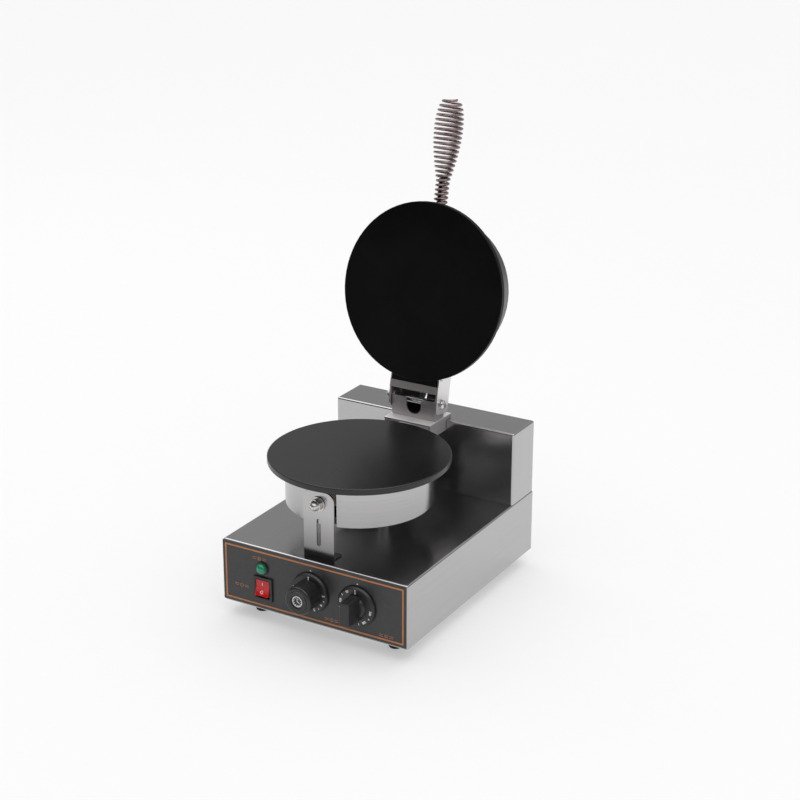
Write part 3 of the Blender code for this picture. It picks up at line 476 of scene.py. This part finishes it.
def mesh_of(name, build):
    """A mesh filled by a function, with its normals made to point out."""
    work = bmesh.new()
    build(work)
    bmesh.ops.recalc_face_normals(work, faces=work.faces)
    mesh = bpy.data.meshes.new(name)
    work.to_mesh(mesh)
    work.free()
    return mesh


def wrapped(work, loops):
    """Skins loops of vertices that have the same count, and closes the first and the last."""
    count = len(loops[0])
    for first, second in zip(loops, loops[1:]):
        for k in range(count):
            n = (k + 1) % count
            work.faces.new((first[k], first[n], second[n], second[k]))
    work.faces.new(loops[0][::-1])
    work.faces.new(loops[-1])


def around(steps):
    """The angles of a full turn in equal steps, in radians."""
    return [2 * math.pi * k / steps for k in range(steps)]


def lathe(profile, steps=96):
    """(radius, height) points turned about Z."""
    def build(work):
        points = [work.verts.new((radius, 0, height)) for radius, height in profile]
        edges = [work.edges.new(pair) for pair in zip(points, points[1:])]
        bmesh.ops.spin(work, geom=points + edges, cent=(0, 0, 0), axis=(0, 0, 1), angle=2 * math.pi,
                       steps=steps, use_merge=True)
        bmesh.ops.remove_doubles(work, verts=work.verts, dist=0.000002)
    return mesh_of("turned", build)


def slab(points, low, high):
    """A flat outline in XY, filled and given thickness from one height to another."""
    def build(work):
        face = work.faces.new([work.verts.new((x, y, low)) for x, y in points])
        made = bmesh.ops.extrude_face_region(work, geom=[face])
        top = [item for item in made["geom"] if isinstance(item, bmesh.types.BMVert)]
        bmesh.ops.translate(work, vec=(0, 0, high - low), verts=top)
    return mesh_of("slab", build)


def ribbon(points, width, closed=False):
    """A printed line of this width through (x, y) points, standing a print's thickness above z = 0."""
    count = len(points)
    path = [Vector(point) for point in points]
    edges = []
    for i, point in enumerate(path):
        before = path[i - 1] if i or closed else point
        after = path[(i + 1) % count] if i < count - 1 or closed else point
        along = (after - before).normalized()
        side = Vector((-along.y, along.x)) * width / 2
        edges.append((point + side, point - side))

    def build(work):
        rails = [[work.verts.new((*edge[k], z)) for k in (0, 1)] for z in (0, PRINT) for edge in edges]
        low, high = rails[:count], rails[count:]
        for i in range(count if closed else count - 1):
            j = (i + 1) % count
            work.faces.new((high[i][0], high[i][1], high[j][1], high[j][0]))
            work.faces.new((low[i][0], low[j][0], low[j][1], low[i][1]))
            for k in (0, 1):
                work.faces.new((low[i][k], high[i][k], high[j][k], low[j][k]))
        if not closed:
            for i in (0, count - 1):
                work.faces.new((low[i][0], low[i][1], high[i][1], high[i][0]))
    return mesh_of("ribbon", build)


def circle(radius, start=0, end=360, steps=32):
    """Points round a circle or an arc, by clockwise angles in degrees from +Y."""
    count = steps if end - start == 360 else steps + 1
    angles = [math.radians(start + (end - start) * i / steps) for i in range(count)]
    return [(radius * math.sin(a), radius * math.cos(a)) for a in angles]


def figure(words, size, bold=0.0):
    """Raised figures centred on the origin."""
    curve = bpy.data.curves.new("figure", "FONT")
    curve.body = words
    curve.size = size
    curve.extrude = PRINT / 2
    curve.offset = bold
    curve.align_x = "CENTER"
    curve.align_y = "CENTER"
    holder = bpy.data.objects.new("figure", curve)
    scene.collection.objects.link(holder)
    bpy.context.view_layer.update()
    made = bpy.data.meshes.new_from_object(holder.evaluated_get(bpy.context.evaluated_depsgraph_get()))
    bpy.data.objects.remove(holder)
    return made


def joined(parts):
    """One mesh from (mesh, matrix) pairs."""
    def build(work):
        for mesh, matrix in parts:
            start = len(work.verts)
            work.from_mesh(mesh)
            work.verts.ensure_lookup_table()
            bmesh.ops.transform(work, matrix=matrix, verts=work.verts[start:])
        bmesh.ops.remove_doubles(work, verts=work.verts, dist=0.000002)
    return mesh_of("joined", build)


def swept(path, radius_at, sides=24):
    """A tube with closed ends along a path, whose radius is a function of the distance along it."""
    path = [Vector(point) for point in path]
    travelled, across, rings = 0.0, None, []
    for i, point in enumerate(path):
        along = (path[min(i + 1, len(path) - 1)] - path[max(i - 1, 0)]).normalized()
        across = along.orthogonal() if across is None else across - along * across.dot(along)
        across.normalize()
        if i:
            travelled += (point - path[i - 1]).length
        rings.append((point, across.copy(), along.cross(across), radius_at(travelled)))

    def build(work):
        loops = []
        for centre, u, v, radius in rings:
            ways = [u * math.cos(a) + v * math.sin(a) for a in around(sides)]
            loops.append([work.verts.new(centre + way * radius) for way in ways])
        wrapped(work, loops)
    return mesh_of("swept", build)


def spaced(points, step):
    """A smooth curve through given points, sampled at an even step."""
    points = [Vector(point) for point in points]
    ends = [points[0] * 2 - points[1], *points, points[-1] * 2 - points[-2]]
    dense = []
    for a, b, c, d in zip(ends, ends[1:], ends[2:], ends[3:]):
        for i in range(40):
            t = i / 40
            dense.append(0.5 * (2 * b + (c - a) * t + (2 * a - 5 * b + 4 * c - d) * t * t
                                + (3 * b - a - 3 * c + d) * t ** 3))
    dense.append(points[-1])
    even, left = [dense[0]], step
    for first, second in zip(dense, dense[1:]):
        gap = (second - first).length
        while gap >= left:
            first = first.lerp(second, left / gap)
            even.append(first)
            gap -= left
            left = step
        left -= gap
    return even


def moved(x=0.0, y=0.0, z=0.0):
    """The matrix of a plain move."""
    return Matrix.Translation((x, y, z))


def piece(name, mesh, matrix, finish, slot=None, bevel=0.0, segments=2):
    """A new piece in its place, with its finish. The slot that this comes from is not used."""
    made = bpy.data.objects.new(name, mesh)
    scene.collection.objects.link(made)
    mesh.materials.clear()
    mesh.materials.append(FINISHES[finish])
    made.matrix_world = matrix
    smoothed(made, bevel, segments=segments)
    return made


# ---------------------------------------------------------------- what the CAD nodes look like

def dress_nodes():
    """The CAD nodes keep their shape, and get soft edges and a detailed finish."""
    for name, node in nodes.items():
        finish = FINISHES[FINISH_OF.get(name, SLOT_OF[name])]
        for holder in node.material_slots:
            holder.material = finish
        smoothed(node, BEVEL_OF.get(name, SOFT_EDGE), weld=True)


# ---------------------------------------------------------------- front panel

def flat_frame(low, high, width):
    """A rectangular line with square corners, its outside between two corners."""
    (x0, y0), (x1, y1) = low, high
    bars = [((x0, y0), (x1, y0 + width)), ((x0, y1 - width), (x1, y1)),
            ((x0, y0 + width), (x0 + width, y1 - width)), ((x1 - width, y0 + width), (x1, y1 - width))]
    return [slab([(a, b), (c, b), (c, d), (a, d)], 0, PRINT) for (a, b), (c, d) in bars]


def panel_border():
    """The orange line round the control panel."""
    inset, line = 0.0032, 0.0019
    low = (panel_low.x + inset, panel_low.z + inset)
    high = (panel_high.x - inset, panel_high.z - inset)
    mesh = joined([(bar, Matrix()) for bar in flat_frame(low, high, line)])
    at = moved(y=panel_low.y) @ FACING_FRONT
    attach(piece("panel_border", mesh, at, "orange_print", "panel_black"), "base")


def panel_symbols():
    """Four generic symbols for lamp, power, time and heat, each between two pairs of dashes."""
    line, radius = 0.0005, 0.0021
    turn = radius * math.sqrt(0.5)
    cross = [([(-turn, -turn), (turn, turn)], False), ([(-turn, turn), (turn, -turn)], False)]
    hands = [(0, radius * 0.7), (0, 0), (radius * 0.6, 0)]
    rows, sway = 8, 0.0005
    waves = [([(x + sway * math.sin(k), -radius + 2 * radius * k / rows) for k in range(rows + 1)], False)
             for x in (-0.0016, 0, 0.0016)]
    stem = [(0, 0), (0, radius * 1.2)]
    symbols = {
        "lamp_symbol": (-0.0710, 0.0815, [(circle(radius), True), *cross]),
        "power_symbol": (-0.0960, 0.0425, [(circle(radius, 40, 320), False), (stem, False)]),
        "time_symbol": (0.0250, 0.0295, [(circle(radius), True), (hands, False)]),
        "heat_symbol": (0.0957, 0.0283, waves),
    }
    dash_start, dash_end, dash_row = 0.0040, 0.0090, 0.0010
    for name, (x, z, lines) in symbols.items():
        parts = [(ribbon(points, line, closed), Matrix()) for points, closed in lines]
        for side in (-1, 1):
            for row in (-dash_row, dash_row):
                dash = [(side * dash_start, row), (side * dash_end, row)]
                parts.append((ribbon(dash, line), Matrix()))
        at = moved(x, panel_low.y, z) @ FACING_FRONT
        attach(piece(name, joined(parts), at, "orange_print", "panel_black"), "base")


# ---------------------------------------------------------------- knobs

SKIRT_THICK = 0.0036


class Knob:
    """Where a knob stands: its axis, its radius, and how far it reaches out of the panel."""

    def __init__(self, node, joint):
        low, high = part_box(node)
        self.node = node
        self.origin = Vector(joints[joint]["pos_m"])
        self.body = joints[joint]["child"]
        self.radius = (high.x - low.x) / 2
        self.front, self.back = self.origin.y - low.y, self.origin.y - high.y
        self.skirt = self.back + SKIRT_THICK
        self.at = Matrix.Translation(self.origin) @ FACING_FRONT

    def add(self, name, mesh, height=0.0, finish="black_plastic", **edges):
        """Another piece of the knob, standing at this height in front of its axis point."""
        made = piece(name, mesh, self.at @ moved(z=height), finish, "black_plastic", **edges)
        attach(made, self.body)

    def add_skirt(self, name):
        """A thin disc with a sloping rim, which stands for the CAD knob."""
        radius, back, front = self.radius, self.back, self.skirt
        profile = [(0, front), (radius - 0.0024, front), (radius - 0.0016, front - 0.0003),
                   (radius - 0.0004, back + 0.0016), (radius, back + 0.0008), (radius - 0.0002, back),
                   (0, back)]
        made = piece(name, lathe(profile, 144), self.at, "black_plastic")
        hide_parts(self.node)
        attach(made, self.body)

    def add_scale(self, name, ticks, figures, size, radius):
        """White figures and ticks printed on the skirt, and its long index line at the top."""
        tick_width, index_width, index_length, figure_inset, bold = 0.0007, 0.0011, 0.0056, 0.0020, 0.00012
        parts = []
        for angle, length in ticks:
            a = math.radians(angle)
            way = Vector((math.sin(a), math.cos(a)))
            parts.append((ribbon([way * (radius - length), way * radius], tick_width), Matrix()))
        away = radius - figure_inset
        for angle, words in figures:
            a = math.radians(angle)
            spot = moved(away * math.sin(a), away * math.cos(a), PRINT / 2)
            parts.append((figure(words, size, bold), spot @ Matrix.Rotation(-a, 4, "Z")))
        parts.append((ribbon([(0, radius - index_length), (0, radius)], index_width), Matrix()))
        self.add(name, joined(parts), self.skirt, "white_print")


def fluted(radius, low, high, flutes, depth, rim, steps=216):
    """A round grip with shallow flutes down its side and a rounded front edge."""
    rows = [(low, 0.0, depth), (high - rim - 0.0012, 0.0, depth), (high - rim, 0.0, depth * 0.4)]
    rows += [(high - rim + rim * math.sin(a), rim * (1 - math.cos(a)), 0)
             for a in (math.radians(d) for d in (20, 45, 70, 90))]

    def build(work):
        loops = []
        for height, inset, cut in rows:
            loop = []
            for a in around(steps):
                flute = max(0.0, math.cos(flutes * a)) ** 3
                r = radius - inset - cut * flute
                loop.append(work.verts.new((r * math.cos(a), r * math.sin(a), height)))
            loops.append(loop)
        wrapped(work, loops)
    return mesh_of("fluted", build)


def timer_knob():
    """The timer's knob: skirt, fluted round grip, and a cap with a generic clock mark."""
    knob = Knob("timer_knob", "timer_turn")
    knob.add_skirt("timer_skirt")
    cap = knob.front - 0.0010
    knob.add("timer_grip", fluted(0.0168, knob.skirt - 0.0002, cap, 20, 0.0003, 0.0026))
    collar = [(0.0085, 0.0008), (0.0092, 0.0010), (0.0118, 0.0010), (0.0124, 0.0002), (0.0124, -0.0004),
              (0.0085, -0.0004), (0.0085, 0.0008)]
    knob.add("timer_cap_ring", lathe(collar), cap)
    rim, hour_start, hour_end, bold, fine = 0.0060, 0.0053, 0.78, 0.0009, 0.0007
    mark = [ribbon(circle(rim, steps=48), bold, True), ribbon([(0, 0.0038), (0, 0), (0.0028, -0.0014)], bold)]
    mark += [ribbon([(x, y), (x * hour_end, y * hour_end)], fine) for x, y in circle(hour_start, steps=12)]
    knob.add("timer_clock_mark", joined([(mesh, Matrix()) for mesh in mark]), cap, "white_print")
    start, step = 86, 36
    ticks = [(start + step * (i + 0.5), 0.0016) for i in range(6)]
    figures = [(start + step * i, str(5 - i)) for i in range(6)]
    knob.add_scale("timer_scale", ticks, figures, 0.0046, knob.radius - 0.0027)
    return knob


def thermostat_knob():
    """The thermostat's knob: skirt with its scale, and a straight bar grip with a tapered front."""
    knob = Knob("thermostat_knob", "thermostat_turn")
    knob.add_skirt("thermostat_skirt")
    half_width, half_height, sunk = 0.0069, 0.0146, 0.0003
    narrower, shorter = 0.86, 0.93

    def bar(work):
        depth = knob.front - knob.skirt + sunk
        bmesh.ops.create_cube(work, size=1.0)
        bmesh.ops.scale(work, vec=(2 * half_width, 2 * half_height, depth), verts=work.verts)
        bmesh.ops.translate(work, vec=(0, 0, knob.skirt - sunk + depth / 2), verts=work.verts)
        for vert in work.verts:
            if vert.co.z > knob.skirt:
                vert.co.x *= narrower
                vert.co.y *= shorter
    knob.add("thermostat_grip", mesh_of("bar", bar), bevel=0.0014, segments=4)
    foot_low, foot_high = knob.skirt - 0.0001, knob.skirt + 0.0030
    foot = [(0, foot_high), (0.0100, foot_high), (0.0112, foot_high - 0.0008), (0.0126, foot_low),
            (0, foot_low)]
    knob.add("thermostat_grip_foot", lathe(foot))
    start, step = 98, 46
    ticks = [(start + step * (i + 0.5), 0.0022) for i in range(5)]
    figures = [(start + step * i, str(50 * (6 - i))) for i in range(6)]
    knob.add_scale("thermostat_scale", ticks, figures, 0.0036, knob.radius - 0.0026)
    return knob


def knob_index(name, knob):
    """The white dot on the panel above a knob."""
    gap, radius = 0.0022, 0.0008
    at = moved(knob.origin.x, panel_low.y, knob.origin.z + knob.radius + gap) @ FACING_FRONT
    dot = lathe([(0, PRINT), (radius, PRINT), (radius, 0), (0, 0)], 32)
    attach(piece(name, dot, at, "white_print", "panel_black"), "base")


# ---------------------------------------------------------------- switch and lamp

def switch_marks():
    """The bar and ring on the rocker's two faces, each lying on its own slope."""
    origin = Vector(joints["rocker_tilt"]["pos_m"])
    tilt = math.radians(joints["rocker_tilt"]["range_deg"][1] / 2)
    # How far the rocker's middle stands out, half its height, and how far its ends rise above its middle.
    reach, half, lift = 0.0076, 0.0094, 0.0020
    along = 0.0048
    slope = math.atan2(lift, half)
    rest = Matrix.Translation(origin) @ Matrix.Rotation(-tilt, 4, "X")
    bar, ring = ribbon([(0, -0.0017), (0, 0.0017)], 0.0007), ribbon(circle(0.0016), 0.0006, True)
    for name, side, mesh in (("switch_on_mark", 1, bar), ("switch_off_mark", -1, ring)):
        spot = moved(y=-reach - lift * along / half, z=side * along)
        at = spot @ Matrix.Rotation(side * slope, 4, "X") @ FACING_FRONT
        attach(piece(name, mesh, rest @ at, "white_print", "red_plastic"), "rocker")


def quarter(step):
    """Angles from 0 to 90 degrees, in radians."""
    return [math.radians(degrees) for degrees in range(0, 91, step)]


def lamp():
    """The pilot lamp's lens: a smooth dome with a stepped rim."""
    low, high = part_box("lamp_lens")
    radius, depth, rim = (high.x - low.x) / 2, high.y - low.y, 0.0012
    dome = [(radius * 0.94 * math.sin(a), rim + (depth - rim) * math.cos(a)) for a in quarter(9)]
    at = moved((low.x + high.x) / 2, high.y, (low.z + high.z) / 2) @ FACING_FRONT
    lens = piece("lamp_dome", lathe(dome + [(radius, rim), (radius, 0), (0, 0)], 72), at, "green_lens")
    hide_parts("lamp_lens")
    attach(lens, "base")


# ---------------------------------------------------------------- handle

def grip_radius(t):
    """Mean radius of the wound grip from the cover (0) to its tip (1)."""
    narrow, widest, tip = 0.0070, 0.0158, 0.0066
    swell_start, swell_end = 0.28, 0.74
    if t < swell_start:
        return narrow
    if t < swell_end:
        share = (t - swell_start) / (swell_end - swell_start)
        return narrow + (widest - narrow) * math.sin(share * math.pi / 2)
    share = (t - swell_end) / (1 - swell_end)
    return tip + (widest - tip) * math.sqrt(max(0.0, 1 - share ** 2.2))


def handle():
    """The wound wire grip on the lid's stud."""
    wire, clear = 0.0015, 0.0002
    coil = [LID.inverted() @ vertex.co for vertex in nodes["handle_coil"].data.vertices]
    near = max(point.y for point in coil) - wire - clear
    far = min(point.y for point in coil) + wire + clear
    axis_z = (max(point.z for point in coil) + min(point.z for point in coil)) / 2
    turns, per_turn = 24, 40
    route = []
    for i in range(turns * per_turn + 1):
        t = i / (turns * per_turn)
        radius = grip_radius(t)
        angle = 2 * math.pi * turns * t
        route.append((radius * math.cos(angle), near + (far - near) * t, axis_z + radius * math.sin(angle)))
    mesh = swept(route, lambda distance: wire, 14)
    mesh.transform(LID)
    grip = piece("handle_grip_coil", mesh, Matrix(), "handle_steel", "bright_steel")
    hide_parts("handle_coil")
    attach(grip, "lid")


# ---------------------------------------------------------------- conduits and hinge

def armoured(radius):
    """The outline of interlocked metal hose: a rib for each pitch."""
    pitch, depth = 0.0022, 0.0005
    return lambda distance: radius - depth * (0.5 + 0.5 * math.cos(2 * math.pi * distance / pitch)) ** 2


def lower_conduit():
    """The flexible conduit that carries the wires up into the lower drum."""
    low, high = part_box("lower_conduit")
    middle = (low + high) / 2
    rise = spaced([(middle.x, middle.y, z) for z in (low.z, middle.z, high.z)], HOSE_STEP)
    mesh = swept(rise, armoured((high.x - low.x) / 2))
    hose = piece("lower_armoured_conduit", mesh, Matrix(), "galvanised")
    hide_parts("lower_conduit")
    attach(hose, "base")


def hinge_conduit():
    """The flexible conduit from the rear box to the lid, drawn for the lid's rest position."""
    low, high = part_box("rear_conduit")
    back = (low.y + high.y) / 2
    upper = [LID.inverted() @ vertex.co for vertex in nodes["upper_conduit"].data.vertices]
    first, last = min(point.y for point in upper), max(point.y for point in upper)
    window = 0.004

    def lid_point(share):
        """The middle of the CAD conduit at a share of the way from the gland to the hinge."""
        y = first + (last - first) * share
        near = [point for point in upper if abs(point.y - y) < window]
        return LID @ Vector((0, y, sum(point.z for point in near) / len(near)))

    leaves_base = (0, back, high.z - 0.004)
    route = [(0, back, low.z + 0.010), (0, back, low.z + 0.020), leaves_base]
    route += [lid_point(share) for share in (0.92, 0.75, 0.50, 0.25, 0.04)]
    mesh = swept(spaced(route, HOSE_STEP), armoured((high.x - low.x) / 2))
    hose = piece("hinge_armoured_conduit", mesh, Matrix(), "galvanised")
    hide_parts("rear_conduit", "upper_conduit")
    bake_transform(hose)


def conduit_grommet():
    """The rubber grommet where the hinge conduit leaves the rear box."""
    low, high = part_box("rear_conduit")
    bore, outer = 0.0037, 0.0090
    lip = [(bore, 0.0), (bore, 0.0030), (0.0046, 0.0034), (0.0078, 0.0022), (outer, 0.0010), (outer, 0.0),
           (bore, 0.0)]
    at = moved(y=(low.y + high.y) / 2, z=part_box("rear_box")[1].z)
    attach(piece("conduit_grommet", lathe(lip, 72), at, "rubber"), "base")


def notch_shade_pad():
    """A black sheet that paints the shade seen through the bracket's notch: a pad on the shelf between the hinge
    bracket's ears, with a lip across it.
    """
    bracket_low, bracket_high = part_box("hinge_base_bracket")
    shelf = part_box("hinge_shelf")[1]
    sheet, clear, thick = 0.0020, 0.0004, 0.0008
    x0, x1 = bracket_low.x + sheet + clear, bracket_high.x - sheet - clear
    y0, y1 = bracket_low.y + sheet + clear, shelf.y - clear
    # Two notches clear the heads of the shelf's screws.
    notch, notch_y = 0.0090, shelf.y - 0.0120
    outline = [(x0, y0), (x1, y0), (x1, notch_y), (x1 - notch, notch_y), (x1 - notch, y1), (x0 + notch, y1),
               (x0 + notch, notch_y), (x0, notch_y)]
    lip_front, lip_height = notch_y - 0.0020, 0.0092
    lip_back = lip_front + thick
    lip = [(x0, lip_front), (x1, lip_front), (x1, lip_back), (x0, lip_back)]
    mesh = joined([(slab(outline, 0, thick), Matrix()), (slab(lip, 0, lip_height), Matrix())])
    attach(piece("notch_shade_pad", mesh, moved(z=shelf.z), "black_sleeve", "rubber", bevel=0.0002), "base")


# ---------------------------------------------------------------- screws

def pan_head(name, at, out, radius=0.0032):
    """A domed screw head with a cross recess pressed into it, on the base."""
    height, rim, deep = radius * 0.55, radius * 0.19, radius * 0.35
    arm, slot = radius * 0.55, radius * 0.16
    shares = (0.98, 0.9, 0.8, 0.7, 0.6, 0.54, 0.5, 0.42, 0.34, 0.26, 0.2, 0.16, 0.1)

    def pressed(x, y, top):
        """The dome's height, or the recess's floor inside the cross."""
        inside = min(abs(x), abs(y)) < slot and max(abs(x), abs(y)) < arm
        return height - deep if inside else top

    def build(work):
        circle_of = [(math.cos(a), math.sin(a)) for a in around(72)]
        loops = [[work.verts.new((radius * x, radius * y, z)) for x, y in circle_of] for z in (0, rim)]
        for share in shares:
            top = rim + (height - rim) * math.sqrt(1 - share ** 2)
            ring = [(radius * share * x, radius * share * y) for x, y in circle_of]
            loops.append([work.verts.new((x, y, pressed(x, y, top))) for x, y in ring])
        wrapped(work, loops)
    turn = Vector(out).to_track_quat("Z", "Y").to_matrix().to_4x4()
    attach(piece(name, mesh_of("pan_head", build), moved(*at) @ turn, "bright_steel"), "base")


def screws():
    """Screws of the rear wall, the rear box and the bottom plate."""
    edge = 0.012
    box_low, box_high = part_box("rear_box")
    back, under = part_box("rear_panel")[1].y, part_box("bottom_plate")[0].z
    rows = {
        "rear_panel_screw": ((0, 1, 0), [(x, back, z) for x in (-0.110, 0, 0.110)
                                         for z in (case_low.z + edge, case_high.z - edge)]),
        "rear_box_screw": ((0, 1, 0), [(x, box_high.y, box_low.z + edge) for x in (-0.100, 0.100)]),
        "bottom_plate_screw": ((0, 0, -1), [(x, y, under) for x in (-0.108, 0.108)
                                            for y in (case_low.y + 0.014, case_high.y - 0.016)]),
    }
    for name, (out, spots) in rows.items():
        for i, at in enumerate(spots):
            pan_head(f"{name}_{i + 1}", at, out)


# ---------------------------------------------------------------- build

SMOOTHING = smoothing_group()
FINISHES = all_finishes()

camera()
studio()
dress_nodes()
panel_border()
panel_symbols()
timer = timer_knob()
thermostat = thermostat_knob()
knob_index("timer_index", timer)
knob_index("thermostat_index", thermostat)
switch_marks()
lamp()
handle()
lower_conduit()
conduit_grommet()
hinge_conduit()
notch_shade_pad()
screws()
